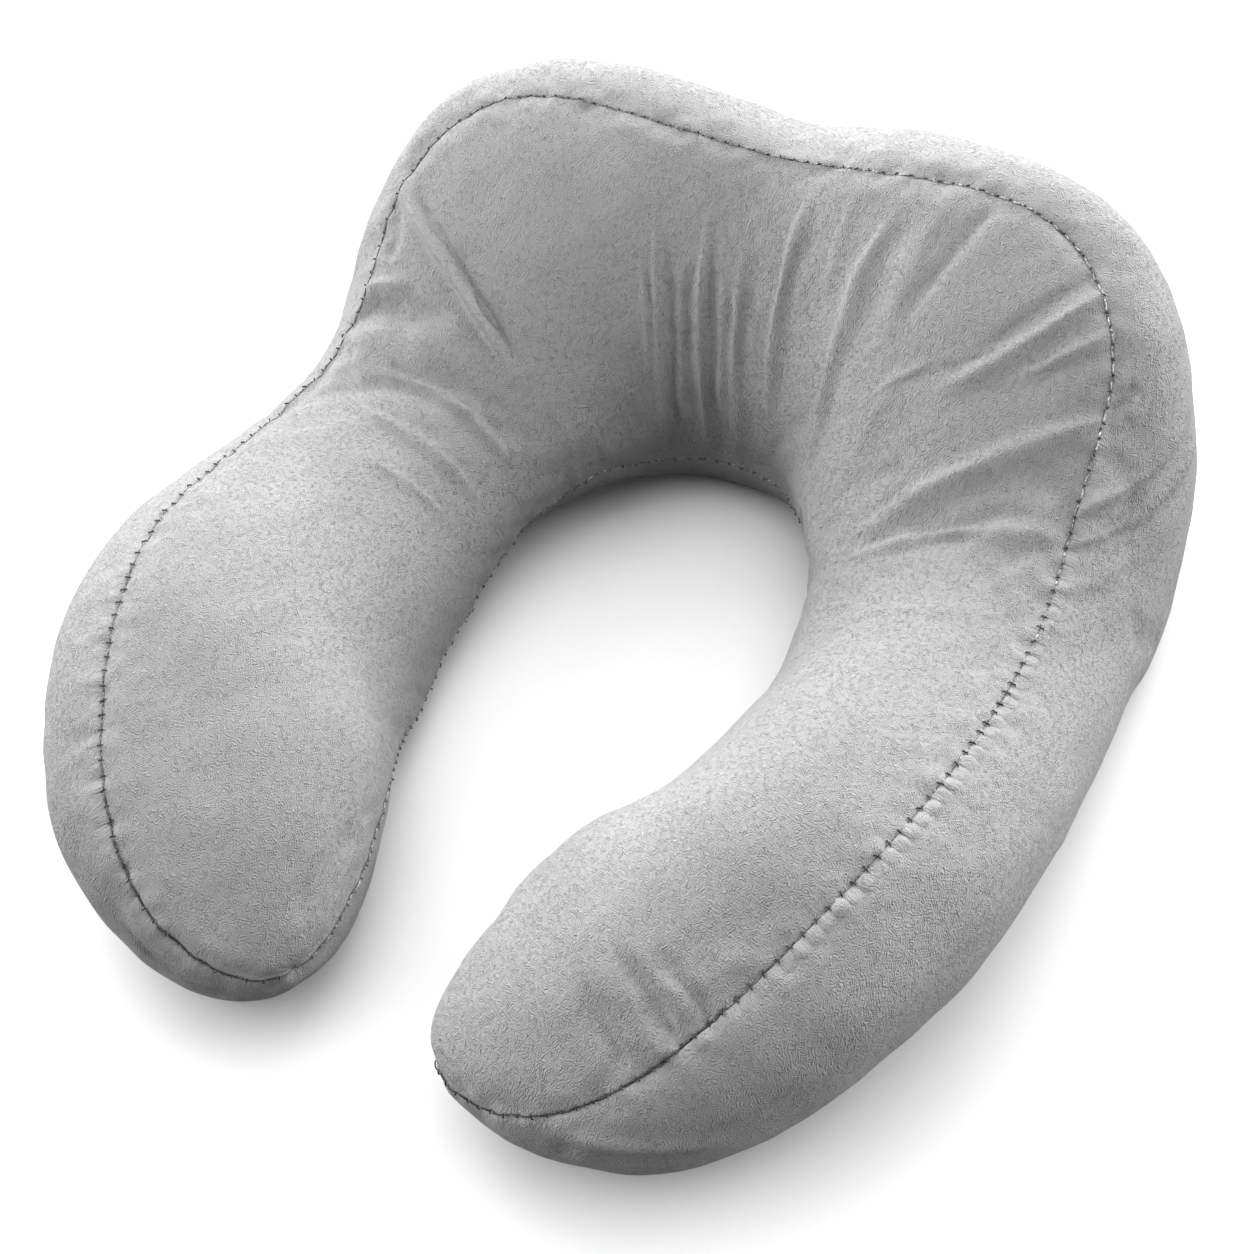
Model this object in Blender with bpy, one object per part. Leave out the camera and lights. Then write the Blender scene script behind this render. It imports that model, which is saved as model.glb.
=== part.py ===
"""Travel pillow: a U-shaped, filled neck cushion covered in short-pile velour.

A maker cuts two panels and sews them together with one closed seam that runs all round. The top
panel covers the crest and the slope that meets the neck. The under panel covers the outer wall,
the foot of the inner wall and the flat underside.

The cushion is one filled solid, the under panel with the filling on it, and its upper side is a
shallow bed. The top panel is a sheet that lies in that bed, a seam gap clear of it all over.

Metres, +Z up, the underside on Z = 0, the nape towards +Y and the mouth of the U towards -Y. The
two arms mirror each other in X = 0. The origin is the bottom centre of the whole cushion.
"""

import math

import bpy
import numpy as np

MM = 0.001

# Cross-sections of one half, from the nape's middle to the end of an arm, lengths in millimetres.
# Each stands upright on a line across the cushion, from a point of its inner edge, at the neck
# hole, to a point of its outer edge:
#   share      how far along the half, 0 at the nape and 1 at the arm's end
#   inner_x/y  the inner edge, seen from above
#   outer_x/y  the outer edge, seen from above
#   crest      height of the ridge
#   ridge      where the ridge is, as a share of the way from the inner to the outer edge
#   inner_z    height at which the inner wall bulges most
#   outer_z    height at which the outer wall bulges most
#   ramp       roundness of the slope on the neck side: 2 is an ellipse, less is flatter
#   seam_out   where the seam runs on the outer side, in degrees round the section: 0 is the outer
#              bulge, 90 the crest, 180 the inner bulge and 270 the underside
#   seam_in    where it runs on the inner side
SECTION_COLUMNS = (
    "share", "inner_x", "inner_y", "outer_x", "outer_y", "crest", "ridge", "inner_z", "outer_z",
    "ramp", "seam_out", "seam_in",
)
SECTIONS = (
    (0.00, 0, 26, 0, 108, 115, 0.67, 22, 64, 1.7, 102, 182),
    (0.14, 18, 22, 49, 104, 123, 0.73, 25, 59, 1.7, 106, 186),
    (0.28, 32, 8, 116, 89, 119, 0.79, 34, 47, 1.7, 99, 190),
    (0.42, 40, -3, 146, 43, 92, 0.76, 39, 23, 1.8, 89, 196),
    (0.56, 52, -36, 148, -15, 65, 0.55, 28, 16, 1.9, 65, 196),
    (0.70, 48, -91, 148, -107, 78, 0.51, 18, 50, 2.0, 63, 193),
    (0.85, 35, -124, 108, -191, 66, 0.43, 38, 39, 2.0, 49, 191),
    (1.00, 6, -160, 37, -228, 52, 0.35, 33, 27, 2.0, 0, 180),
)
# The seam runs a little higher round the left arm's end: rows of SECTIONS and degrees added.
LEFT_SEAM_RISE = {6: 6, 7: 20}
OUTER_ROUND = 2.3  # roundness of the outer wall above its bulge
FOOT_ROUND = 2.6  # roundness of both walls below their bulges
SINK = 2.0 * MM  # how far the filling would bulge below the surface it rests flat on

# The ends of the arms close over the last share of the path, round the seam's end point.
END_SHARE = 0.17
END_ROUND = 2.2
END_HEIGHT = 30 * MM

# The seam draws the cover in.
SEAM_DEPTH = 1.6 * MM
SEAM_REACH = 3.5 * MM

PANEL = 2.0 * MM  # velour with its backing
GAP = 0.3 * MM  # between the two solids

# How finely the surfaces are divided.
BODY_STEPS = 22  # along half of the path, up to where the end begins to close
END_STEPS = 9  # from there to the arm's end
TOP_STEPS = 14  # across the top panel
UNDER_STEPS = 12  # across the under panel
SEAM_STEPS = (3.0 * MM, 8.0 * MM)  # the first divisions beside a seam
SEAM_SHARE = 1 / 6  # the most of a panel's width that they take at one seam
FINE = 240  # samples on each section before it is divided evenly

VELOUR = (0.50, 0.50, 0.51, 1.0)
VELOUR_ROUGHNESS = 0.95


def natural_spline(knots, values):
    """A smooth curve through rows of values: read(at) gives its values."""
    step = np.diff(knots)
    last = len(knots) - 1
    rise = np.diff(values, axis=0) / step[:, None]
    matrix = np.eye(last + 1)
    right = np.zeros(values.shape)
    for i in range(1, last):
        matrix[i, i - 1:i + 2] = step[i - 1], 2 * (step[i - 1] + step[i]), step[i]
        right[i] = 6 * (rise[i] - rise[i - 1])
    bend = np.linalg.solve(matrix, right)

    def read(at):
        i = np.clip(np.searchsorted(knots, at) - 1, 0, last - 1)
        h = step[i][:, None]
        b = (at - knots[i])[:, None] / h
        a = 1 - b
        curve = ((a**3 - a) * bend[i] + (b**3 - b) * bend[i + 1]) * h**2 / 6
        return a * values[i] + b * values[i + 1] + curve

    return read


def both_arms():
    """The sections of both arms as one curve, from -1 at the left end to 1 at the right end."""
    right = np.array(SECTIONS, float)
    for name in ("inner_x", "inner_y", "outer_x", "outer_y", "crest", "inner_z", "outer_z"):
        right[:, SECTION_COLUMNS.index(name)] *= MM
    left = right.copy()
    for name in ("inner_x", "outer_x"):
        left[:, SECTION_COLUMNS.index(name)] *= -1
    left[:, 0] *= -1
    for row, rise in LEFT_SEAM_RISE.items():
        left[row, SECTION_COLUMNS.index("seam_out")] += rise
    rows = np.concatenate([left[:0:-1], right])
    return natural_spline(rows[:, 0], rows[:, 1:])


def stations():
    """Shares along the path without the two ends, closer together where the ends close."""
    body = np.linspace(0, 1 - END_SHARE, BODY_STEPS + 1)
    turn = np.linspace(0, math.pi / 2, END_STEPS + 1)[1:-1]
    closing = 1 - END_SHARE * (1 - np.sin(turn) ** (2 / END_ROUND))
    half = np.concatenate([body, closing])
    return np.concatenate([-half[:0:-1], half])


def quarter(angle, power):
    """A rounded quarter: how far across and how far up it is at an angle from its side."""
    return np.abs(np.cos(angle)) ** (2 / power), np.abs(np.sin(angle)) ** (2 / power)


def section(row, degrees):
    """A section's outline, as distances outward from its middle and heights."""
    crest, ridge, inner_z, outer_z, ramp = row[4:9]
    half = math.dist(row[0:2], row[2:4]) / 2
    lean = (2 * ridge - 1) * half
    degrees = np.mod(degrees, 360)
    angle = np.radians(degrees)
    over_out = quarter(angle, OUTER_ROUND)
    over_in = quarter(angle, ramp)
    foot = quarter(angle, FOOT_ROUND)
    sides = [degrees <= 90, degrees <= 180, degrees <= 270]
    across = np.select(
        sides,
        [lean + (half - lean) * over_out[0], lean - (half + lean) * over_in[0], -half * foot[0]],
        half * foot[0],
    )
    up = np.select(
        sides,
        [
            outer_z + (crest - outer_z) * over_out[1],
            inner_z + (crest - inner_z) * over_in[1],
            inner_z - (inner_z + SINK) * foot[1],
        ],
        outer_z - (outer_z + SINK) * foot[1],
    )
    return across, up


def across_steps(length, count):
    """Distances across a panel: close together at both seams and even between them."""
    near = min(1.0, SEAM_SHARE * length / SEAM_STEPS[-1])
    first = [0.0] + [d * near for d in SEAM_STEPS]
    middle = np.linspace(first[-1], length - first[-1], count + 3 - 2 * len(first))
    return np.concatenate([first[:-1], middle, length - np.array(first[-2::-1])])


def divide(row, shrink, start, stop, count):
    """Points across a panel from seam to seam, and how far each is from the nearest seam."""
    across, up = section(row, np.linspace(start, stop, FINE + 1))
    across = across * shrink
    up = END_HEIGHT + (up - END_HEIGHT) * shrink
    run = np.concatenate([[0], np.cumsum(np.hypot(np.diff(across), np.diff(up)))])
    at = across_steps(run[-1], count)
    found = np.stack([np.interp(at, run, across), np.interp(at, run, up)], axis=1)
    return found, np.minimum(at, run[-1] - at)


def panel_grid(start, stop, turns, count):
    """One panel's points, a row for each station, and how far each is from the nearest seam."""
    shares = stations()
    rows = both_arms()(shares)
    closing = np.clip((np.abs(shares) - 1 + END_SHARE) / END_SHARE, 0, 1)
    shrink = (1 - closing**END_ROUND) ** (1 / END_ROUND)
    first, last = (SECTION_COLUMNS.index(name) - 1 for name in (start, stop))
    points = []
    reach = []
    for row, size in zip(rows, shrink):
        found, near = divide(row, size, row[first], row[last] + turns, count)
        outward = (row[2:4] - row[0:2]) / math.dist(row[0:2], row[2:4])
        plan = (row[0:2] + row[2:4]) / 2 + found[:, :1] * outward
        points.append(np.column_stack([plan, found[:, 1]]))
        reach.append(near)
    return np.array(points), np.array(reach)


def arm_ends():
    """The end point of each arm, on the seam."""
    rows = both_arms()(np.array((-1.0, 1.0)))
    return np.column_stack([(rows[:, 0:2] + rows[:, 2:4]) / 2, (END_HEIGHT, END_HEIGHT)])


def sheet_faces(rows, columns, flip):
    """Triangles of a grid whose first and last rows close in on an end point each."""
    def at(row, column):
        return row * columns + column

    first = rows * columns
    faces = []
    for column in range(columns - 1):
        for row in range(rows - 1):
            a, b = at(row, column), at(row + 1, column)
            c, d = at(row + 1, column + 1), at(row, column + 1)
            faces += [(a, c, b), (a, d, c)]
        faces.append((first, at(0, column + 1), at(0, column)))
        faces.append((first + 1, at(rows - 1, column), at(rows - 1, column + 1)))
    return [face[::-1] for face in faces] if flip else faces


def sheet_edge(rows, columns):
    """The grid's outline: along one seam, round an end, back along the other and round the end."""
    near = [row * columns for row in range(rows)]
    far = [row * columns + columns - 1 for row in reversed(range(rows))]
    return near + [rows * columns + 1] + far + [rows * columns]


def normals(points, faces):
    """Unit normals of the points of a triangle mesh."""
    corners = points[np.array(faces)]
    face_normals = np.cross(corners[:, 1] - corners[:, 0], corners[:, 2] - corners[:, 0])
    total = np.zeros(points.shape)
    for corner in range(3):
        np.add.at(total, np.array(faces)[:, corner], face_normals)
    return total / np.linalg.norm(total, axis=1, keepdims=True)


def cushion_surface():
    """The whole outer surface as two grids that share the seam, as flat lists with the ends last."""
    top, top_reach = panel_grid("seam_out", "seam_in", 0, TOP_STEPS)
    under, under_reach = panel_grid("seam_in", "seam_out", 360, UNDER_STEPS)
    panels = []
    for grid, reach in ((top, top_reach), (under[:, ::-1], under_reach[:, ::-1])):
        points = np.concatenate([grid.reshape(-1, 3), arm_ends()])
        panels.append((points, np.concatenate([reach.ravel(), (0.0, 0.0)]), grid.shape[:2]))
    return panels


def surface_normals(top, under):
    """Outward normals of both grids, with the seam's normals averaged over the two."""
    (top_points, _, top_shape), (under_points, _, under_shape) = top, under
    shift = len(top_points)
    both = np.concatenate([top_points, under_points])
    faces = sheet_faces(*top_shape, flip=False)
    faces += [tuple(i + shift for i in face) for face in sheet_faces(*under_shape, flip=True)]
    found = normals(both, faces)
    top_edge = np.array(sheet_edge(*top_shape))
    under_edge = np.array(sheet_edge(*under_shape)) + shift
    shared = found[top_edge] + found[under_edge]
    shared /= np.linalg.norm(shared, axis=1, keepdims=True)
    found[top_edge] = shared
    found[under_edge] = shared
    return found[:shift], found[shift:]


def drawn_in(points, normal, reach):
    """The surface with the seam pulled in and the underside pressed flat."""
    pull = SEAM_DEPTH * np.exp(-((reach / SEAM_REACH) ** 2))
    moved = points - normal * pull[:, None]
    moved[:, 2] = np.maximum(moved[:, 2], 0.0)
    return moved


def closed_solid(upper, lower, upper_shape, lower_shape):
    """Points and faces of a solid between two grids with matching outlines."""
    shift = len(upper)
    faces = sheet_faces(*upper_shape, flip=False)
    faces += [tuple(i + shift for i in face) for face in sheet_faces(*lower_shape, flip=True)]
    above = sheet_edge(*upper_shape)
    below = [i + shift for i in sheet_edge(*lower_shape)]
    for i, here in enumerate(above):
        after = (i + 1) % len(above)
        faces += [(here, below[after], below[i]), (here, above[after], below[after])]
    return np.concatenate([upper, lower]), faces


def open_seam(points, shape):
    """The top panel's outline drawn back from the seam by the gap."""
    rows, columns = shape
    moved = points.copy()
    grid = points[: rows * columns].reshape(rows, columns, 3)
    for edge, inside in ((0, 1), (columns - 1, columns - 2)):
        inward = grid[:, inside] - grid[:, edge]
        inward /= np.linalg.norm(inward, axis=1, keepdims=True)
        moved[edge:rows * columns:columns] += GAP * inward
    moved[rows * columns:, 2] += GAP
    return moved


def velour():
    """Light grey short-pile velour."""
    material = bpy.data.materials.new("velour")
    material.use_nodes = True
    shader = material.node_tree.nodes["Principled BSDF"]
    shader.inputs["Base Color"].default_value = VELOUR
    shader.inputs["Roughness"].default_value = VELOUR_ROUGHNESS
    shader.inputs["Metallic"].default_value = 0.0
    return material


def add_object(name, points, faces, material):
    """A smooth-shaded object with a crisp edge where its sheet is cut."""
    mesh = bpy.data.meshes.new(name)
    mesh.from_pydata(points.tolist(), [], faces)
    mesh.shade_smooth()
    mesh.set_sharp_from_angle(angle=math.radians(50))
    mesh.materials.append(material)
    made = bpy.data.objects.new(name, mesh)
    bpy.context.collection.objects.link(made)
    return made


def build():
    """The two solids, with the whole cushion's bottom centre at the origin."""
    for old in list(bpy.data.objects):
        bpy.data.objects.remove(old)

    top, under = cushion_surface()
    top_normal, under_normal = surface_normals(top, under)
    top_points = drawn_in(top[0], top_normal, top[1])
    under_points = drawn_in(under[0], under_normal, under[1])

    low = np.minimum(top_points.min(axis=0), under_points.min(axis=0))
    high = np.maximum(top_points.max(axis=0), under_points.max(axis=0))
    centre = np.array([(low[0] + high[0]) / 2, (low[1] + high[1]) / 2, low[2]])
    top_points -= centre
    under_points -= centre

    pile_side = open_seam(top_points, top[2])
    back_side = pile_side - PANEL * top_normal
    bed = top_points - (PANEL + GAP) * top_normal

    pillow = bpy.data.objects.new("travel_pillow", None)
    bpy.context.collection.objects.link(pillow)
    material = velour()
    solids = {
        "top_panel": closed_solid(pile_side, back_side, top[2], top[2]),
        "under_panel": closed_solid(bed, under_points, top[2], under[2]),
    }
    for name, (points, faces) in solids.items():
        add_object(name, points, faces, material).parent = pillow


build()
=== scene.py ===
"""Travel pillow, the looks: velour panels with their creases, the sewn seam, floor, light and camera.

The two panels repeat the sections of the CAD model, divided finely. The filled cushion is first
settled as cloth under pressure, then its creases, its puckered seam and its pile are added.
The object is in metres, +Z up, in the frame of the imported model; tables are in millimetres.
"""

import math

import bpy
import numpy as np
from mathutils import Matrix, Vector


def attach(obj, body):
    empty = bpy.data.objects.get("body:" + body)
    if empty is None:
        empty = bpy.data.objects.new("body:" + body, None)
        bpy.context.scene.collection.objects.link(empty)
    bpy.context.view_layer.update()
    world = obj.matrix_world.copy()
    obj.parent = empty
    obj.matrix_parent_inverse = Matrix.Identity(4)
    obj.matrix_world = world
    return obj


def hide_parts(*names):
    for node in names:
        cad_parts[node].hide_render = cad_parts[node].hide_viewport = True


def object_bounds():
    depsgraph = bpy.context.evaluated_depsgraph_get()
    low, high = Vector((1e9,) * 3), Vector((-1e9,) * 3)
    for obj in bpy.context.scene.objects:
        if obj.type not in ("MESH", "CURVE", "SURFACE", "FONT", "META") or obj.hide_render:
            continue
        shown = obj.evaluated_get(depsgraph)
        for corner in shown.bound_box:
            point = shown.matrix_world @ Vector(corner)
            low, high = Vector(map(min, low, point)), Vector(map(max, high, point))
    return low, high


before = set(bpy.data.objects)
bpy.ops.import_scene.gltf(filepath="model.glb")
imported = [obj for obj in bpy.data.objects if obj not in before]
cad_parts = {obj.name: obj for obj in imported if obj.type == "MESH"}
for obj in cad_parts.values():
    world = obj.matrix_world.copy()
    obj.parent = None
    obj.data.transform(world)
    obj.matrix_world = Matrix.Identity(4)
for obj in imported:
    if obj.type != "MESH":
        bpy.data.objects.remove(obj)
cad_low, cad_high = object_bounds()

MM = 0.001

# -------- camera

CAMERA_AZIMUTH = 142.3
CAMERA_ELEVATION = 50.3
CAMERA_ROLL = -11.8
CAMERA_DISTANCE = 0.568
CAMERA_TARGET = (0.0146, -0.0153, 0.05)
CAMERA_LENS = 56.3
CAMERA_SENSOR = 36.0


def direction(azimuth, elevation):
    """A vector of length 1 from degrees. Azimuths run from behind the pillow towards its right."""
    azimuth, elevation = math.radians(azimuth), math.radians(elevation)
    return np.array((
        math.sin(azimuth) * math.cos(elevation),
        math.cos(azimuth) * math.cos(elevation),
        math.sin(elevation),
    ))


def new_object(name, data):
    """An object in the scene."""
    made = bpy.data.objects.new(name, data)
    bpy.context.collection.objects.link(made)
    return made


def make_camera():
    """A view from the front right, turned about its own axis by the roll."""
    back = direction(CAMERA_AZIMUTH, CAMERA_ELEVATION)
    level = direction(CAMERA_AZIMUTH - 90, 0)
    upright = np.cross(back, level)
    roll = math.radians(CAMERA_ROLL)
    data = bpy.data.cameras.new("camera")
    data.lens = CAMERA_LENS
    data.sensor_width = CAMERA_SENSOR
    camera = new_object("camera", data)
    place = np.eye(4)
    place[:3, 0] = math.cos(roll) * level + math.sin(roll) * upright
    place[:3, 1] = math.cos(roll) * upright - math.sin(roll) * level
    place[:3, 2] = back
    place[:3, 3] = np.array(CAMERA_TARGET) + back * CAMERA_DISTANCE
    camera.matrix_world = place.T
    bpy.context.scene.camera = camera


make_camera()

# -------- sections, as in the CAD model

# One row for each section of an arm, from the nape (share 0) to the arm's end (1): where it begins
# and ends seen from above, the crest's height and its place between them, the heights of both ends,
# how full the slope to the neck is (2 is an ellipse), and where the seams lie, in degrees round the
# section from its outermost point up over the crest.
SECTION_COLUMNS = (
    "share", "inner_x", "inner_y", "outer_x", "outer_y", "crest", "ridge", "inner_z", "outer_z",
    "ramp", "seam_out", "seam_in",
)
SECTIONS = (
    (0.00, 0, 26, 0, 108, 115, 0.67, 22, 64, 1.7, 102, 182),
    (0.14, 18, 22, 49, 104, 123, 0.73, 25, 59, 1.7, 106, 186),
    (0.28, 32, 8, 116, 89, 119, 0.79, 34, 47, 1.7, 99, 190),
    (0.42, 40, -3, 146, 43, 92, 0.76, 39, 23, 1.8, 89, 196),
    (0.56, 52, -36, 148, -15, 65, 0.55, 28, 16, 1.9, 65, 196),
    (0.70, 48, -91, 148, -107, 78, 0.51, 18, 50, 2.0, 63, 193),
    (0.85, 35, -124, 108, -191, 66, 0.43, 38, 39, 2.0, 49, 191),
    (1.00, 6, -160, 37, -228, 52, 0.35, 33, 27, 2.0, 0, 180),
)
LEFT_SEAM_RISE = {6: 6, 7: 20}  # degrees more on these rows of the left arm
OUTER_ROUND = 2.3  # 2 is an ellipse, more is squarer
FOOT_ROUND = 2.6
SINK = 2.0  # how far the section goes below the floor before its underside is pressed flat
END_SHARE = 0.17  # of each arm, over which its end closes
END_ROUND = 2.2
END_HEIGHT = 30.0  # the height that the end closes on

ROWS = 1300  # along the cushion, evenly spaced on the outer seam
TOP_COLUMNS = 66  # across the top panel
UNDER_COLUMNS = 72  # across the under panel
COLUMNS = TOP_COLUMNS + UNDER_COLUMNS
FINE = 700  # samples on each section before it is divided
SHARE_SAMPLES = 6001
STEP_SAMPLES = 241
# The smallest step across a panel, how much a step grows for each millimetre from the first and
# from the second seam, and the largest step.
TOP_STEPS = (0.40, 0.10, 0.10, 2.4)
UNDER_STEPS = (0.45, 0.12, 0.035, 7.0)


def natural_spline(knots, values):
    """A smooth curve through rows of values: read(at) gives its values."""
    step = np.diff(knots)
    last = len(knots) - 1
    rise = np.diff(values, axis=0) / step[:, None]
    matrix = np.eye(last + 1)
    right = np.zeros(values.shape)
    for i in range(1, last):
        matrix[i, i - 1:i + 2] = step[i - 1], 2 * (step[i - 1] + step[i]), step[i]
        right[i] = 6 * (rise[i] - rise[i - 1])
    bend = np.linalg.solve(matrix, right)

    def read(at):
        i = np.clip(np.searchsorted(knots, at) - 1, 0, last - 1)
        h = step[i][:, None]
        b = (at - knots[i])[:, None] / h
        a = 1 - b
        curve = ((a**3 - a) * bend[i] + (b**3 - b) * bend[i + 1]) * h**2 / 6
        return a * values[i] + b * values[i + 1] + curve

    return read


def column(name):
    """Where a named value stands in a row read from the sections, which leave the share out."""
    return SECTION_COLUMNS.index(name) - 1


def both_arms():
    """The sections of both arms as one curve, from -1 at the left end to 1 at the right end."""
    right = np.array(SECTIONS, float)
    left = right.copy()
    for name in ("share", "inner_x", "outer_x"):
        left[:, SECTION_COLUMNS.index(name)] *= -1
    for row, rise in LEFT_SEAM_RISE.items():
        left[row, SECTION_COLUMNS.index("seam_out")] += rise
    rows = np.concatenate([left[:0:-1], right])
    return natural_spline(rows[:, 0], rows[:, 1:])


def section(rows, degrees):
    """Outlines of several sections: distances outward from their middles and heights."""
    crest, ridge, inner_z, outer_z, ramp = (rows[:, k, None] for k in range(4, 9))
    half = np.hypot(rows[:, 2] - rows[:, 0], rows[:, 3] - rows[:, 1])[:, None] / 2
    lean = (2 * ridge - 1) * half
    degrees = np.mod(degrees, 360)
    cosine = np.abs(np.cos(np.radians(degrees)))
    sine = np.abs(np.sin(np.radians(degrees)))
    foot = half * cosine ** (2 / FOOT_ROUND)
    drop = sine ** (2 / FOOT_ROUND)
    sides = [degrees <= 90, degrees <= 180, degrees <= 270]
    across = [
        lean + (half - lean) * cosine ** (2 / OUTER_ROUND),
        lean - (half + lean) * cosine ** (2 / ramp),
        -foot,
    ]
    up = [
        outer_z + (crest - outer_z) * sine ** (2 / OUTER_ROUND),
        inner_z + (crest - inner_z) * sine ** (2 / ramp),
        inner_z - (inner_z + SINK) * drop,
    ]
    return np.select(sides, across, foot), np.select(sides, up, outer_z - (outer_z + SINK) * drop)


def shrink_at(shares):
    """How small the sections are, below 1 only where an arm's end closes."""
    closing = np.clip((np.abs(shares) - 1 + END_SHARE) / END_SHARE, 0, 1)
    return (1 - closing**END_ROUND) ** (1 / END_ROUND)


def place_on(rows, shrink, across, up):
    """Points in space from distances and heights in upright sections."""
    middle = (rows[:, 0:2] + rows[:, 2:4]) / 2
    outward = rows[:, 2:4] - rows[:, 0:2]
    outward /= np.linalg.norm(outward, axis=1, keepdims=True)
    plan = middle[:, None] + (across * shrink[:, None])[:, :, None] * outward[:, None]
    height = END_HEIGHT + (up - END_HEIGHT) * shrink[:, None]
    return np.concatenate([plan, height[:, :, None]], axis=2)


def run_along(curve):
    """Distances along a line of points."""
    return np.concatenate([[0], np.cumsum(np.linalg.norm(np.diff(curve, axis=0), axis=1))])


def even_shares(count):
    """Shares whose points on the outer seam are evenly spaced, from one arm's end to the other."""
    shares = np.sin(np.linspace(-math.pi / 2, math.pi / 2, SHARE_SAMPLES)[1:-1])
    rows = both_arms()(shares)
    across, up = section(rows, rows[:, column("seam_out"), None])
    seam = place_on(rows, shrink_at(shares), across, up)[:, 0]
    run = run_along(seam)
    return np.interp(np.linspace(0, run[-1], count + 2)[1:-1], run, shares)


def graded(length, count, steps):
    """Places across a panel, close together at its seams."""
    least, grow_first, grow_last, most = steps
    at = np.linspace(0, length, STEP_SAMPLES)
    size = np.minimum(least + grow_first * at, least + grow_last * (length - at))
    density = 1 / np.minimum(size, most)
    run = np.concatenate([[0], np.cumsum((density[1:] + density[:-1]) / 2)])
    return np.interp(np.linspace(0, run[-1], count + 1), run, at)


def loft(shares, start, stop, turns, count, steps):
    """One panel's points, rows by columns, with each one's distance from the panel's first seam and
    the panel's whole width."""
    rows = both_arms()(shares)
    shrink = shrink_at(shares)
    first = rows[:, column(start), None]
    last = rows[:, column(stop), None] + turns
    across, up = section(rows, first + (last - first) * np.linspace(0, 1, FINE + 1))
    run = np.cumsum(np.hypot(np.diff(across), np.diff(up)), axis=1) * shrink[:, None]
    run = np.concatenate([np.zeros((len(rows), 1)), run], axis=1)
    at = np.array([graded(r[-1], count, steps) for r in run])
    across = np.array([np.interp(a, r, v) for a, r, v in zip(at, run, across)])
    up = np.array([np.interp(a, r, v) for a, r, v in zip(at, run, up)])
    return place_on(rows, shrink, across, up), at, run[:, -1:]


def unit(vectors):
    """Vectors of length 1."""
    return vectors / np.maximum(np.linalg.norm(vectors, axis=-1, keepdims=True), 1e-9)


def ring_normals(points):
    """Outward normals of a grid whose columns close into a ring."""
    along = np.gradient(points, axis=0)
    around = (np.roll(points, -1, axis=1) - np.roll(points, 1, axis=1)) / 2
    return unit(np.cross(around, along))


def in_a_ring(top, under):
    """Both panels' values side by side, with those at a seam only once."""
    return np.concatenate([top[:, :-1], under[:, :-1]], axis=1)


class Ring:
    """The whole cushion as one grid. A row is a section. Columns 0 to TOP_COLUMNS cross the top
    panel from the outer to the inner seam, and the rest cross the under panel back again. fraction
    is the share across the panel, away the distance from the nearest seam, and seams holds the
    column of each seam and the distances from it."""

    def __init__(self):
        self.shares = even_shares(ROWS)
        top, top_at, top_width = loft(
            self.shares, "seam_out", "seam_in", 0, TOP_COLUMNS, TOP_STEPS
        )
        under, under_at, under_width = loft(
            self.shares, "seam_in", "seam_out", 360, UNDER_COLUMNS, UNDER_STEPS
        )
        self.points = in_a_ring(top, under)
        self.normals = ring_normals(self.points)
        self.on_top = np.arange(COLUMNS) < TOP_COLUMNS
        self.fraction = in_a_ring(top_at / top_width, under_at / under_width)
        from_out = in_a_ring(top_at, under_width - under_at)
        from_in = in_a_ring(top_width - top_at, under_at)
        self.seams = ((0, from_out), (TOP_COLUMNS, from_in))
        self.near_outer = from_out < from_in
        self.away = np.minimum(from_out, from_in)


ring = Ring()

# -------- creases

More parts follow.
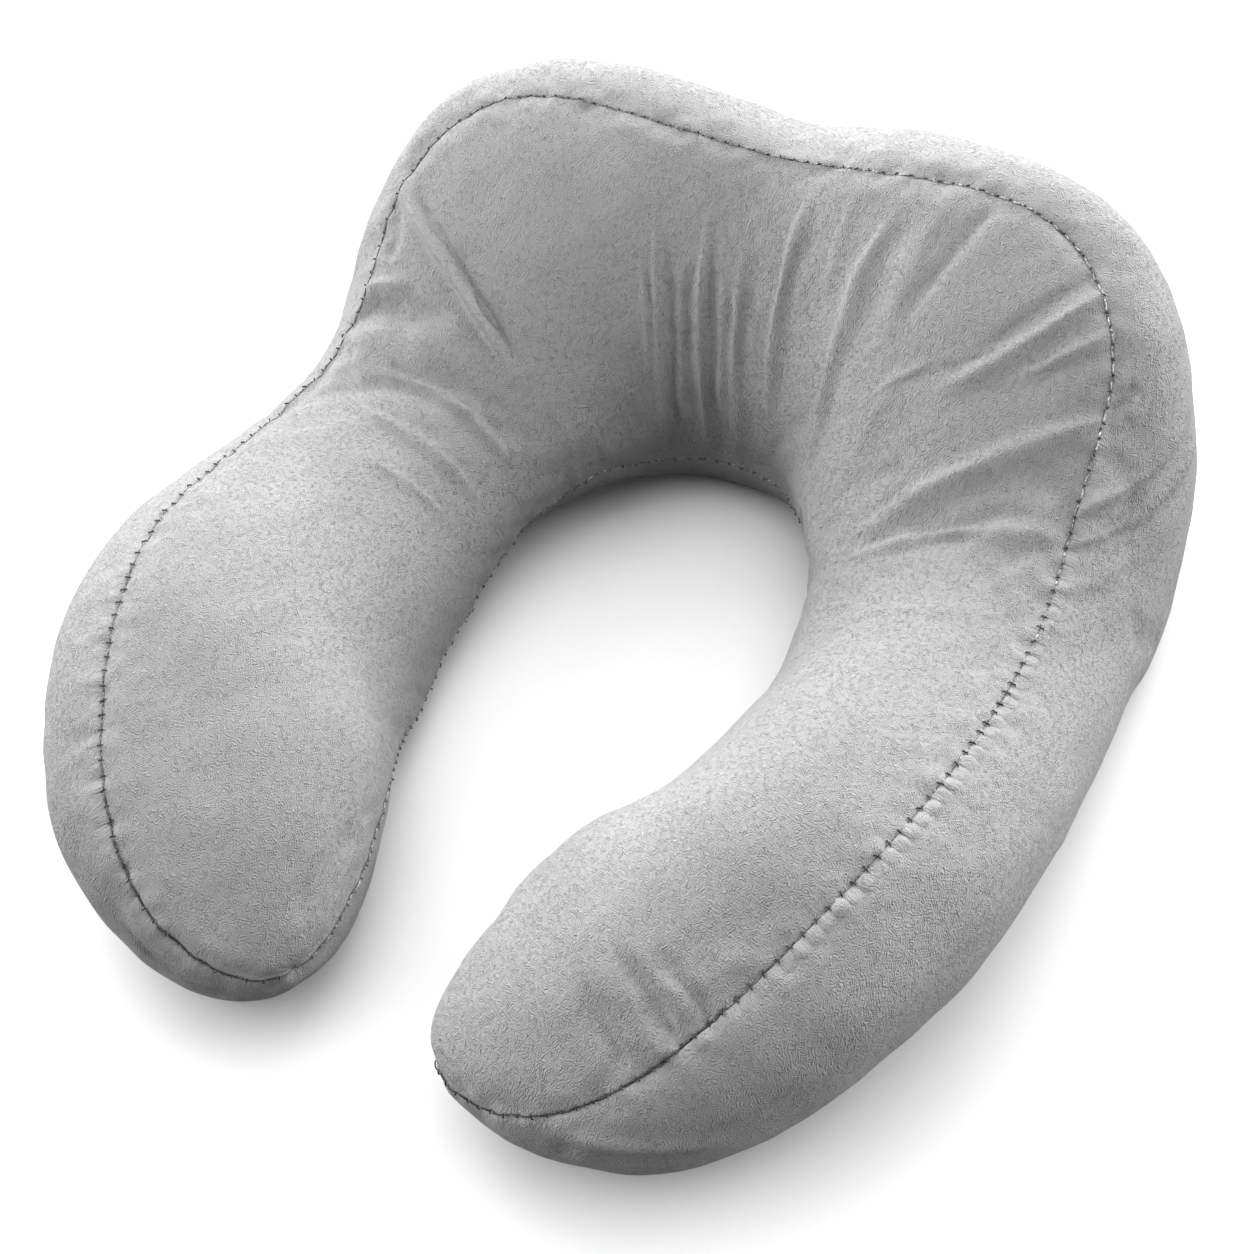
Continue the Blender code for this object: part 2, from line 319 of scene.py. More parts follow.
# Soft ridges with a trough beside them. Each runs from its start over its middle to its end; a
# place is a share along the cushion, -1 to 1, and a share across its panel, which is 0 at the
# outer seam on the top panel and 0 at the inner seam on the under panel.
#   height     of the ridge, less than 0 for a trough
#   width      from the ridge's middle to where it has mostly gone
#   lean       how deep the trough beside it is, as a share of the height: more than 0 on the right
#              of someone walking from start to end, less than 0 on the left
CREASE_COLUMNS = (
    "panel", "start", "start_across", "middle", "middle_across", "end", "end_across",
    "height", "width", "lean",
)
CREASES = (
    # thin folds down the nape, between the lobes
    ("top", -0.15, 0.22, -0.155, 0.62, -0.17, 1.02, 1.60, 1.6, -1.8),
    ("top", -0.17, 0.36, -0.173, 0.56, -0.177, 0.80, 0.90, 1.4, -1.2),
    ("top", -0.112, 0.30, -0.114, 0.60, -0.12, 0.92, 0.90, 1.4, -1.4),
    ("top", -0.073, 0.16, -0.075, 0.60, -0.055, 1.02, 2.00, 1.7, -1.8),
    ("top", -0.035, 0.32, -0.032, 0.58, -0.022, 0.88, 0.90, 1.4, -1.2),
    ("top", -0.01, 0.22, 0.003, 0.61, 0.018, 0.98, 1.30, 1.7, -1.2),
    # longer folds from the right lobe's seam to the nape
    ("top", 0.08, 0.06, 0.077, 0.38, 0.11, 0.84, 1.60, 1.9, -0.8),
    ("top", 0.13, 0.04, 0.143, 0.20, 0.157, 0.38, 0.60, 2.0, -0.6),
    ("top", 0.186, 0.07, 0.207, 0.44, 0.296, 0.92, 2.20, 2.5, -0.6),
    ("top", 0.215, 0.01, 0.236, 0.24, 0.30, 0.52, 1.00, 3.4, 0.0),
    ("top", 0.240, -0.02, 0.257, 0.18, 0.278, 0.40, -1.40, 2.6, 0.0),
    ("top", 0.337, 0.46, 0.377, 0.56, 0.43, 0.68, 0.55, 1.2, -0.6),
    # the pucker in the right lobe, and the folds that fan out from it to the seam
    ("top", 0.337, 0.54, 0.344, 0.46, 0.35, 0.39, 0.65, 1.4, -0.8),
    ("top", 0.346, 0.47, 0.366, 0.34, 0.368, 0.20, -0.50, 1.3, 0.0),
    ("top", 0.392, 0.42, 0.370, 0.17, 0.338, -0.07, 1.70, 2.2, 0.9),
    ("top", 0.368, 0.30, 0.347, 0.13, 0.330, -0.04, -1.40, 2.4, 0.0),
    ("top", 0.404, 0.24, 0.389, 0.09, 0.372, -0.06, 1.20, 1.9, 1.0),
    # the big folds of the right side, from the hole to the seam
    ("top", 0.520, 0.73, 0.474, 0.34, 0.432, -0.07, 2.30, 2.6, 0.9),
    ("top", 0.53, 0.70, 0.520, 0.32, 0.519, -0.04, 1.40, 2.1, 1.0),
    ("top", 0.584, 0.78, 0.586, 0.36, 0.573, 0.04, 0.45, 2.4, 0.7),
    # the long fold of the left lobe and the hollow beside its seam
    ("top", -0.404, -0.02, -0.426, 0.27, -0.453, 0.64, 3.20, 2.6, -0.4),
    ("top", -0.394, 0.02, -0.414, 0.30, -0.441, 0.64, -1.60, 2.2, 0.0),
    ("top", -0.41, 0.0, -0.437, 0.06, -0.464, 0.06, -1.60, 2.8, 0.0),
    ("top", -0.49, -0.02, -0.476, 0.08, -0.458, 0.20, 1.90, 2.4, 1.0),
    ("top", -0.508, -0.02, -0.484, 0.16, -0.455, 0.40, -2.80, 4.2, 0.0),
    ("top", -0.528, -0.04, -0.510, 0.17, -0.474, 0.46, 1.30, 4.6, 0.0),
    # the three arcs of the left arm, and a short line beside the left lobe
    ("top", -0.55, 0.14, -0.517, 0.46, -0.513, 0.78, 1.70, 2.0, 1.0),
    ("top", -0.574, 0.24, -0.561, 0.50, -0.559, 0.78, 1.20, 1.9, 0.8),
    ("top", -0.604, 0.38, -0.594, 0.55, -0.592, 0.73, 0.80, 1.8, 0.8),
    ("top", -0.42, 0.72, -0.424, 0.81, -0.43, 0.92, 0.35, 1.2, -0.6),
    # soft dents and ridges at the arms' ends
    ("top", 0.876, 0.34, 0.860, 0.13, 0.857, -0.05, -2.20, 2.7, 0.0),
    ("top", 0.852, 0.20, 0.846, 0.09, 0.843, -0.03, 0.70, 2.0, 0.0),
    ("top", 0.852, 0.25, 0.843, 0.10, 0.838, -0.04, -1.40, 2.4, 0.0),
    ("top", 0.902, 0.35, 0.889, 0.14, 0.882, -0.02, -1.60, 3.4, 0.0),
    ("top", 0.876, 0.24, 0.869, 0.10, 0.866, -0.03, 0.60, 2.0, 0.0),
    ("top", -0.94, 0.58, -0.965, 0.62, -0.99, 0.62, -0.70, 3.4, 0.0),
    # folds of the under panel below the right side's seam
    ("under", 0.434, 1.00, 0.423, 0.981, 0.411, 0.96, -1.80, 2.2, 0.0),
    ("under", 0.445, 0.99, 0.436, 0.972, 0.424, 0.955, 0.90, 2.0, 0.0),
    ("under", 0.512, 1.05, 0.460, 0.912, 0.385, 0.86, 2.60, 1.9, 2.2),
    ("under", 0.530, 1.03, 0.468, 0.87, 0.375, 0.785, 1.90, 1.8, 1.6),
    ("under", 0.565, 1.05, 0.535, 0.94, 0.49, 0.85, 0.90, 2.0, 1.0),
    # the fold that overhangs under the right arm's end, and lines under the left one's
    ("under", 0.930, 0.97, 0.890, 0.890, 0.842, 0.79, 1.60, 3.0, 1.8),
    ("under", -0.91, 0.96, -0.95, 0.93, -0.985, 0.89, 1.20, 1.6, 1.5),
    ("under", -0.905, 0.92, -0.95, 0.885, -0.985, 0.85, 0.90, 1.8, 1.2),
)
CREASE_POINTS = 25
CREASE_REACH = 4.0  # widths
WIDTH_VARIES = 0.2  # along the crease
WIDTH_PATCH = 0.5  # the share of a crease over which its width changes
FADE = 0.3  # the share of a crease over which it rises, and sinks again
STEEP = 0.75  # the ridge's width, away from its trough
GENTLE = 1.25  # and towards it
TROUGH_PLACE = 2.4
TROUGH_WIDTH = 1.3
TROUGH_SHARE = 0.35  # of the ridge's height where the lean is 1
SEEDS = {"crease": 100, "puff": 5, "pucker": 11, "comb": 31, "thread": 3}
WAVES = 28
WAVE_SPREAD = (0.7, 1.5)  # the waves' lengths, as shares of the size asked for


def soft_noise(points, size, seed):
    """Smooth unevenness in space, about -1 to 1: waves about size long, in all directions."""
    chance = np.random.default_rng(seed)
    total = np.zeros(points.shape[:-1])
    for _ in range(WAVES):
        way = unit(chance.normal(size=3)) * 2 * math.pi / (size * chance.uniform(*WAVE_SPREAD))
        total += np.sin(points @ way + chance.uniform(0, 2 * math.pi))
    return total / math.sqrt(WAVES / 2)


def surface_point(panel, share, across):
    """A point of the cushion from its share along and its share across a panel."""
    columns = np.flatnonzero(ring.on_top if panel == "top" else ~ring.on_top)
    place = np.interp(share, ring.shares, np.arange(ROWS))
    row = min(int(place), ROWS - 2)
    found = []
    for k in (row, row + 1):
        line = ring.points[k, columns]
        found.append([np.interp(across, ring.fraction[k, columns], line[:, i]) for i in range(3)])
    mix = place - row
    return np.array(found[0]) * (1 - mix) + np.array(found[1]) * mix


def through(start, middle, end, at):
    """A quadratic curve that starts, is halfway and ends at three values."""
    return start * (1 - at) * (1 - 2 * at) + 4 * middle * at * (1 - at) + end * at * (2 * at - 1)


def crease_height(crease, seed):
    """How far one crease lifts each point of the cushion."""
    row = dict(zip(CREASE_COLUMNS, crease))
    at = np.linspace(0, 1, CREASE_POINTS)
    shares = through(row["start"], row["middle"], row["end"], at)
    across = through(row["start_across"], row["middle_across"], row["end_across"], at)
    path = np.array([surface_point(row["panel"], s, a) for s, a in zip(shares, across)])
    lift = np.zeros(ring.points.shape[:2])
    reach = CREASE_REACH * row["width"]
    near = np.all(ring.points > path.min(axis=0) - reach, axis=2)
    near &= np.all(ring.points < path.max(axis=0) + reach, axis=2)
    near &= ring.on_top == (row["panel"] == "top")
    points, normals = ring.points[near], ring.normals[near]
    best = np.full(len(points), 1e9)
    side = np.zeros(len(points))
    along = np.zeros(len(points))
    for i, (a, b) in enumerate(zip(path[:-1], path[1:])):
        step = b - a
        t = np.clip((points - a) @ step / (step @ step), 0, 1)
        away = points - a - t[:, None] * step
        distance = np.linalg.norm(away, axis=1)
        closer = distance < best
        best[closer] = distance[closer]
        side[closer] = np.sign(np.sum(away * np.cross(step, normals), axis=1))[closer]
        along[closer] = ((i + t) / (CREASE_POINTS - 1))[closer]
    uneven = soft_noise(along[:, None] * np.ones(3), WIDTH_PATCH, seed)
    width = row["width"] * (1 + WIDTH_VARIES * uneven)
    x = best / width * side * np.sign(row["lean"] or 1)
    ridge = np.exp(-((x / np.where(x > 0, GENTLE, STEEP)) ** 2))
    trough = np.exp(-(((x - TROUGH_PLACE) / TROUGH_WIDTH) ** 2))
    fade = np.clip(along / FADE, 0, 1) * np.clip((1 - along) / FADE, 0, 1)
    fade = fade * fade * (3 - 2 * fade)
    lift[near] = row["height"] * fade * (ridge - TROUGH_SHARE * abs(row["lean"]) * trough)
    return lift


# -------- seam

SEAM_DEPTH = 1.0  # of the soft groove along the seam
SEAM_REACH = 4.0
VALLEY_REACH = 0.8  # of the narrow valley in the groove
SLIT = 0.3  # between the two panels
PANEL = 2.0  # the top panel's thickness
STITCH = 4.5  # from one stitch to the next
PUFF_MIDDLE = 2.1  # from the seam to the middle of the rounded puff between two stitches
PUFF_REACH = 2.4  # from a puff's middle to its edge
PUFF_SQUARE = 3.0  # 2 for round puffs, more for squarer ones
PUFF_VARIES = 0.35
PUFF_PATCH = 8.0
# The look of the seams along the cushion: the depth of the narrow valley at the seam itself, the
# height of the puffs between stitches, how high the thread lies, how bright it is at the outer seam,
# lighter from share 0.25 to 0.51 as painted highlights on the stitches there, and how far its short
# stitches reach to either side.
SEAM_COLUMNS = ("share", "valley", "puff", "thread_rise", "thread_shade", "tick")
SEAM_LOOK = (
    (-1.00, 0.70, 0.15, 0.55, 0.06, 0.45),
    (-0.91, 0.65, 0.15, 0.50, 0.08, 0.60),
    (-0.85, 0.45, 0.25, 0.15, 0.28, 0.95),
    (-0.70, 0.40, 0.25, 0.05, 0.35, 0.95),
    (-0.60, 0.45, 0.10, 0.15, 0.25, 0.60),
    (-0.35, 0.50, 0.05, 0.25, 0.25, 0.30),
    (0.00, 0.45, 0.05, 0.10, 0.30, 0.35),
    (0.25, 0.50, 0.05, 0.35, 0.55, 0.35),
    (0.42, 0.55, 0.05, 0.50, 0.70, 0.40),
    (0.51, 0.50, 0.15, 0.30, 0.60, 0.55),
    (0.57, 0.40, 0.60, 0.00, 0.45, 0.95),
    (0.76, 0.45, 0.60, 0.05, 0.30, 1.00),
    (0.83, 0.60, 0.30, 0.40, 0.15, 0.90),
    (0.88, 0.65, 0.15, 0.50, 0.08, 0.70),
    (1.00, 0.70, 0.15, 0.55, 0.06, 0.45),
)
TOP_PUFF = 0.25  # of the puffs, on the top panel's side
INNER_SEAM = 0.5  # of the puffs and the puckers, at the inner seam
INNER_DEPTH = 0.6  # of the groove and its valley, at the inner seam
PUCKER_HEIGHT = 0.35
PUCKER_SIZE = 9.0
PUCKER_REACH = 7.0


def seam_look(name, shares):
    """One column of the seam's look at any shares along the cushion."""
    rows = np.array(SEAM_LOOK)
    return np.interp(shares, rows[:, 0], rows[:, SEAM_COLUMNS.index(name)])


def seam_lift():
    """The groove along both seams, the puffs between their stitches and their puckers."""
    lift = -SEAM_DEPTH * np.exp(-((ring.away / SEAM_REACH) ** 2))
    lift -= seam_look("valley", ring.shares)[:, None] * np.exp(-ring.away / VALLEY_REACH)
    lift *= np.where(ring.near_outer, 1.0, INNER_DEPTH)
    size = seam_look("puff", ring.shares)[:, None]
    panel = np.where(ring.on_top, TOP_PUFF, 1.0)
    pucker = soft_noise(ring.points, PUCKER_SIZE, SEEDS["pucker"])
    for (column_at, distance), share in zip(ring.seams, (1.0, INNER_SEAM)):
        run = run_along(ring.points[:, column_at])
        varied = soft_noise(run[:, None] * np.ones(3), PUFF_PATCH, SEEDS["puff"])[:, None]
        uneven = 1 + PUFF_VARIES * varied
        turn = (run / STITCH)[:, None] % 1 * 2 - 1
        reach = (distance - PUFF_MIDDLE) / PUFF_REACH
        inside = 1 - np.abs(turn) ** PUFF_SQUARE - reach**2
        lift += share * size * uneven * np.sqrt(np.maximum(inside, 0)) * panel
        lift += share * PUCKER_HEIGHT * pucker * np.exp(-distance / PUCKER_REACH)
    return lift


# -------- cloth

CLOTH_ROWS = 190  # the grid that is simulated, about 5 mm
CLOTH_ACROSS = 22  # columns on each panel
CLOTH_START = 1.0  # how far inside the cushion's surface it starts
CLOTH_SPARE = 0.004  # how much wider the cloth is cut than the cushion, as a share
CLOTH_PRESSURE = 4.0
CLOTH_STIFFNESS = 0.3
CLOTH_FRAMES = 20
CLOTH_CAP = 3.0  # how far a point may move
BASE_HEIGHT = 4.0  # below this the cushion rests on the floor and is held


def cloth_grid():
    """Rows and columns of the ring that the simulated grid keeps."""
    rows = np.linspace(0, ROWS - 1, CLOTH_ROWS).round().astype(int)
    columns = []
    for start, stop in ((0, TOP_COLUMNS), (TOP_COLUMNS, COLUMNS)):
        fraction = ring.fraction[ROWS // 2, start:stop]
        wanted = np.linspace(0, 1, CLOTH_ACROSS, endpoint=False)
        columns += (start + np.searchsorted(fraction, wanted)).tolist()
    return rows, np.array(columns)


def cloth_trial(start, held):
    """A coarse closed grid as an object of cloth under pressure, with some of its points held."""
    count, around = held.shape
    corner = np.arange(count - 1)[:, None] * around
    here, there = np.arange(around), (np.arange(around) + 1) % around
    after = corner + around
    quads = np.stack([corner + here, corner + there, after + there, after + here], axis=-1)
    faces = quads.reshape(-1, 4).tolist()
    faces.append(list(range(around - 1, -1, -1)))
    faces.append(list(range((count - 1) * around, count * around)))
    mesh = bpy.data.meshes.new("cloth_trial")
    mesh.from_pydata((start.reshape(-1, 3) * MM).tolist(), [], faces)
    trial = new_object("cloth_trial", mesh)
    group = trial.vertex_groups.new(name="held")
    group.add(np.flatnonzero(held.ravel()).tolist(), 1.0, "REPLACE")
    settings = trial.modifiers.new("cloth", "CLOTH").settings
    settings.vertex_group_mass = "held"
    settings.use_pressure = True
    settings.uniform_pressure_force = CLOTH_PRESSURE
    settings.shrink_min = settings.shrink_max = -CLOTH_SPARE
    settings.effector_weights.gravity = 0
    settings.bending_stiffness = CLOTH_STIFFNESS
    return trial


def simulated(trial):
    """Where a cloth's points come to lie, in millimetres. The cloth is then removed."""
    for number in range(1, CLOTH_FRAMES + 1):
        bpy.context.scene.frame_set(number)
    seen = trial.evaluated_get(bpy.context.evaluated_depsgraph_get()).to_mesh()
    places = np.empty(len(seen.vertices) * 3, np.float32)
    seen.vertices.foreach_get("co", places)
    bpy.context.scene.frame_set(1)
    mesh = trial.data
    bpy.data.objects.remove(trial)
    bpy.data.meshes.remove(mesh)
    return places.reshape(-1, 3) / MM


def carried_over(moved, rows, columns):
    """The coarse grid's movements, read at every point of the ring."""
    count, around = moved.shape[:2]
    along = natural_spline(rows.astype(float), moved.reshape(count, -1))
    moved = along(np.arange(ROWS, dtype=float)).reshape(ROWS, around, 3)
    knots = np.append(columns, COLUMNS).astype(float)
    closed = np.concatenate([moved, moved[:, :1]], axis=1).transpose(1, 0, 2)
    across = natural_spline(knots, closed.reshape(around + 1, -1))
    moved = across(np.arange(COLUMNS, dtype=float))
    return moved.reshape(-1, ROWS, 3).transpose(1, 0, 2)


def settled_cloth():
    """How far each point of the ring moves when the cloth is cut a little too wide, held along its
    seams, on the floor and at both ends, and blown up."""
    rows, columns = cloth_grid()
    target = ring.points[rows][:, columns]
    held = (target[..., 2] < BASE_HEIGHT) | np.isin(columns, (0, TOP_COLUMNS))
    start = target - ring.normals[rows][:, columns] * np.where(held, 0, CLOTH_START)[..., None]
    held[0] = held[-1] = True
    moved = simulated(cloth_trial(start, held)).reshape(target.shape) - target
    length = np.linalg.norm(moved, axis=2, keepdims=True)
    moved *= np.minimum(1, CLOTH_CAP / np.maximum(length, 1e-6))
    return carried_over(moved, rows, columns)


# -------- lay of the pile, and painted light and shade

# Patches where the cushion is lighter or darker, partly where the pile lies differently and partly
# painted light and painted shade, such as a painted highlight along the back rim and painted shade on
# the back wall, beside the right arm's seam and at the arms' ends: a place as in the table of
# creases, how far the patch reaches along and across, in the same shares, and how much lighter it is.
LAY_AND_LIGHT_COLUMNS = ("panel", "share", "across", "length", "width", "amount")
LAY_AND_PAINTED_LIGHT = (
    ("under", -0.22, 0.955, 0.17, 0.045, 0.31),
    ("under", 0.18, 0.955, 0.20, 0.045, 0.32),
    ("under", -0.76, 0.95, 0.10, 0.06, 0.07),
    ("under", 0.0, 0.66, 0.45, 0.16, -0.16),
    ("top", -0.12, 0.22, 0.15, 0.24, 0.08),
    ("top", 0.22, 0.16, 0.12, 0.22, 0.09),
    ("top", -0.75, 0.48, 0.11, 0.24, 0.20),
    ("top", 0.82, 0.55, 0.09, 0.18, 0.12),
    ("top", 0.90, 0.22, 0.06, 0.15, -0.16),
    ("top", 0.80, 0.11, 0.08, 0.12, -0.17),
    ("top", 0.86, 0.18, 0.07, 0.16, -0.13),
    ("under", 0.80, 0.95, 0.07, 0.05, -0.10),
    ("top", -0.96, 0.38, 0.05, 0.25, -0.16),
    ("top", -0.01, 0.92, 0.18, 0.10, -0.20),
    ("top", -0.66, 0.88, 0.12, 0.09, -0.14),
    ("under", -0.95, 0.90, 0.08, 0.08, -0.34),
    ("under", 0.93, 0.84, 0.08, 0.08, -0.20),
)


def lay_and_painted_light():
    """How much lighter each point of the cushion is made: partly the lay of the pile, partly painted
    light and shade.
    """
    total = np.zeros(ring.points.shape[:2])
    for patch in LAY_AND_PAINTED_LIGHT:
        row = dict(zip(LAY_AND_LIGHT_COLUMNS, patch))
        along = (ring.shares[:, None] - row["share"]) / row["length"]
        across = (ring.fraction - row["across"]) / row["width"]
        here = ring.on_top == (row["panel"] == "top")
        total += row["amount"] * np.exp(-(along**2) - across**2) * here
    return total


# -------- meshes

BACK_ROWS = 118  # the hidden backs are coarser
BACK_COLUMNS = 12
SHARP_ANGLE = 70
MIDDLE_TO_ORIGIN = 51.0  # from the middle of the sections' plan to the CAD model's origin
# How strongly the pile beside the seams is combed away from them, along the cushion.
COMB_SHARES = (-1.0, -0.85, -0.6, -0.3, 0.0, 0.25, 0.38, 0.6, 0.85, 1.0)
COMB_AMOUNTS = (0.9, 0.8, 0.3, 0.2, 0.2, 0.3, 0.7, 0.5, 0.7, 0.7)
COMB_REACH = 6.0
COMB_MIDDLE = 0.75
COMB_VARIES = 0.35
COMB_PATCH = 14.0
COMB_LEAST = 0.2
TOP_COMBED = 0.35  # of the combing, on the top panel's side
# Gentle unevenness of the whole surface: height, size of the swells and seed.
SWELLS = ((0.35, 45.0, 21), (0.12, 16.0, 22))


def sheet_faces(rows, columns, start, flip):
    """Faces of a grid whose first and last rows each close in on an end point. Its points are
    numbered from start, row by row, and the two end points come last."""
    corner = start + np.arange(rows - 1)[:, None] * columns + np.arange(columns - 1)
    quads = np.stack([corner, corner + columns, corner + columns + 1, corner + 1], axis=-1)
    quads = quads.reshape(-1, 4)
    first = start + rows * columns
    edge = start + np.arange(columns - 1)
    far = edge + (rows - 1) * columns
    fans = [
        np.stack([np.full(columns - 1, first), edge, edge + 1], axis=1),
        np.stack([np.full(columns - 1, first + 1), far + 1, far], axis=1),
    ]
    faces = quads.tolist() + np.concatenate(fans).tolist()
    return [face[::-1] for face in faces] if flip else faces


def outline(rows, columns, start):
    """A grid's outline: along one seam, round an end, back along the other and round an end."""
    near = [start + row * columns for row in range(rows)]
    far = [start + row * columns + columns - 1 for row in reversed(range(rows))]
    return near + [start + rows * columns + 1] + far + [start + rows * columns]


def with_ends(grid):
    """A grid's points as a list, with its two end points last."""
    ends = [grid[0].mean(axis=0)[None], grid[-1].mean(axis=0)[None]]
    return np.concatenate([grid.reshape(-1, 3)] + ends)


def rim_faces(fine, coarse, picked):
    """Faces between a fine outline and a coarse one. Each point of the coarse outline stands
    behind the point of the fine one that picked names."""
    faces = []
    for i, below in enumerate(coarse):
        after = coarse[(i + 1) % len(coarse)]
        first, last = picked[i], picked[(i + 1) % len(coarse)] or len(fine)
        half = (first + last) // 2
        for k in range(first, last):
            here, there = fine[k], fine[(k + 1) % len(fine)]
            faces.append((here, there, below if k < half else after))
        faces.append((fine[half % len(fine)], after, below))
    return faces


def closed_mesh(name, outer, back, kept_rows, details):
    """An object between a fine grid and its coarse back, whose rows stand behind kept_rows. details
    holds values for the fine points, by the name of the attribute that keeps them."""
    rows, columns = outer.shape[:2]
    points = np.concatenate([with_ends(outer), with_ends(back)])
    start = rows * columns + 2
    faces = sheet_faces(rows, columns, 0, True)
    faces += sheet_faces(*back.shape[:2], start, False)
    fine = outline(rows, columns, 0)
    coarse = outline(*back.shape[:2], start)
    picked = list(kept_rows) + [rows] + [2 * rows - k for k in reversed(kept_rows)] + [2 * rows + 1]
    made = add_mesh(name, points, faces + rim_faces(fine, coarse, picked))
    for detail, values in details.items():
        add_attribute(made, detail, values)
    return made


def add_attribute(made, name, values):
    """Keeps numbers, or vectors, for an object's first points; the others get 0."""
    vectors = values.ndim > 2
    kept = np.zeros((len(made.data.vertices), 3 if vectors else 1))
    kept[:values.shape[0] * values.shape[1]] = values.reshape(-1, kept.shape[1])
    kind = "FLOAT_VECTOR" if vectors else "FLOAT"
    attribute = made.data.attributes.new(name, kind, "POINT")
    attribute.data.foreach_set("vector" if vectors else "value", kept.ravel())


def add_mesh(name, points, faces):
    """A smooth-shaded object from points in millimetres."""
    mesh = bpy.data.meshes.new(name)
    mesh.from_pydata((points * MM).tolist(), [], faces)
    mesh.shade_smooth()
    mesh.set_sharp_from_angle(angle=math.radians(SHARP_ANGLE))
    return new_object(name, mesh)


def settle(points):
    """The cushion with its underside pressed flat, moved to where the CAD model stands."""
    points[..., 2] = np.maximum(points[..., 2], 0.0)
    return points + np.array((0.0, MIDDLE_TO_ORIGIN, 0.0))


def seam_places():
    """Each point's place along its nearest seam and its distance from it, in metres, and how much
    its pile is combed away from the seam."""
    outer, inner = (run_along(ring.points[:, at])[:, None] for at, _ in ring.seams)
    run = np.where(ring.near_outer, outer, inner)
    combed = np.interp(ring.shares, COMB_SHARES, COMB_AMOUNTS)[:, None]
    combed = combed * np.where(ring.on_top, TOP_COMBED, 1.0)
    patches = soft_noise(ring.points, COMB_PATCH, SEEDS["comb"])
    patchy = np.clip(COMB_MIDDLE + COMB_VARIES * patches, COMB_LEAST, 1)
    combed = combed * patchy * np.exp(-((ring.away / COMB_REACH) ** 2))
    return np.stack([run * MM, ring.away * MM, combed], axis=-1)


def panels(points, normals):
    """The two panels as closed pieces that face each other across a narrow slit."""
    nearness = np.where(ring.near_outer, 1.0, INNER_SEAM)
    nearness = nearness * np.where(ring.on_top, TOP_PUFF, 1.0)
    details = {
        "seam_place": seam_places(),
        "puff_height": seam_look("puff", ring.shares)[:, None] * nearness,
        # lay of the pile with painted light and shade, read by the material
        "lay_and_painted_light": lay_and_painted_light(),
    }
    top = points[:, :TOP_COLUMNS + 1].copy()
    under = on_under(points)
    for grid in (top, under):
        grid[:, 0] += unit(grid[:, 1] - grid[:, 0]) * SLIT / 2
        grid[:, -1] += unit(grid[:, -2] - grid[:, -1]) * SLIT / 2
    rows = np.linspace(0, ROWS - 1, BACK_ROWS).round().astype(int)
    columns = np.linspace(0, TOP_COLUMNS, BACK_COLUMNS + 1).round().astype(int)
    deep = normals[rows][:, columns]
    back = top[rows][:, columns] - deep * PANEL
    bed = back - deep * SLIT
    bed[:, 0] = under[rows, -1] - deep[:, 0] * (PANEL + SLIT)
    bed[:, -1] = under[rows, 0] - deep[:, -1] * (PANEL + SLIT)
    top_details = {name: values[:, :TOP_COLUMNS + 1] for name, values in details.items()}
    under_details = {name: on_under(values) for name, values in details.items()}
    upper = closed_mesh("top_panel_cloth", top, back, rows, top_details)
    lower = closed_mesh("under_panel_cloth", under, bed[:, ::-1], rows, under_details)
    return upper, lower


def on_under(values):
    """The ring's columns across the under panel, with both seams."""
    return np.concatenate([values[:, TOP_COLUMNS:], values[:, :1]], axis=1)


lift = seam_lift()
for number, crease in enumerate(CREASES):
    lift += crease_height(crease, SEEDS["crease"] + number)
lift += sum(height * soft_noise(ring.points, size, seed) for height, size, seed in SWELLS)
settled = ring.points + settled_cloth()
shaped = settle(settled + ring.normals * lift[..., None])
shaped_normals = ring_normals(shaped)
top_cloth, under_cloth = panels(shaped, shaped_normals)

# -------- thread

THREAD = 0.22  # radius
THREAD_SIDES = 6
THREAD_POINTS = 7
THREAD_END = 8  # the higher, the blunter the thread's ends
THREAD_LEAST = 0.05
NO_STITCH_WAY = (0.31, 0.27, 0.91)  # a direction in which no stitch runs
THREAD_SWAY = 0.12
SWAY_TURN = 3  # radians, from a stitch's middle to its end
SWAY_START = (0, 6)  # radians
DIVE = 0.9  # how far a stitch's ends go down into the cloth
DIVE_SHARPNESS = 5
STITCH_GAP = 0.5  # from the end of one stitch to the start of the next
TICK = 0.27  # radius of the short stitches across
TICK_POINTS = 6
TICK_RISE = 0.55
TICK_SLANT = 0.5
TICK_CURL = 0.5  # how much higher it lies at its ends than in the middle
# short stitches across, at both seams: thread darkened as painted shade of the punctures they cross
TICK_SHADE = 0.05
INNER_SHADE = 0.42  # of the inner seam's thread, all along
INNER_TICK_SHADE = 0.22
UNLIKE = (0.7, 1.3)  # how unlike stitches are in shade and length
UNLIKE_THICKNESS = (0.85, 1.15)


def tube(path, radius):
    """Points and faces of a thread along a path, with rounded ends."""
    way = unit(np.gradient(path, axis=0))
    side = unit(np.cross(way, NO_STITCH_WAY))
    up = np.cross(side, way)
    turns = np.arange(THREAD_SIDES) * 2 * math.pi / THREAD_SIDES
    round_off = 1 - np.linspace(-1, 1, len(path)) ** THREAD_END
    size = radius * np.sqrt(np.clip(round_off, THREAD_LEAST, 1))
    circle = side[:, None] * np.cos(turns)[:, None] + up[:, None] * np.sin(turns)[:, None]
    points = (path[:, None] + circle * size[:, None, None]).reshape(-1, 3)
    faces = []
    for i in range(len(path) - 1):
        for j in range(THREAD_SIDES):
            k = (j + 1) % THREAD_SIDES
            a, b = i * THREAD_SIDES, (i + 1) * THREAD_SIDES
            faces.append((a + j, b + j, b + k, a + k))
    faces.append(tuple(range(THREAD_SIDES)))
    faces.append(tuple(range(len(points) - 1, len(points) - 1 - THREAD_SIDES, -1)))
    return points, faces


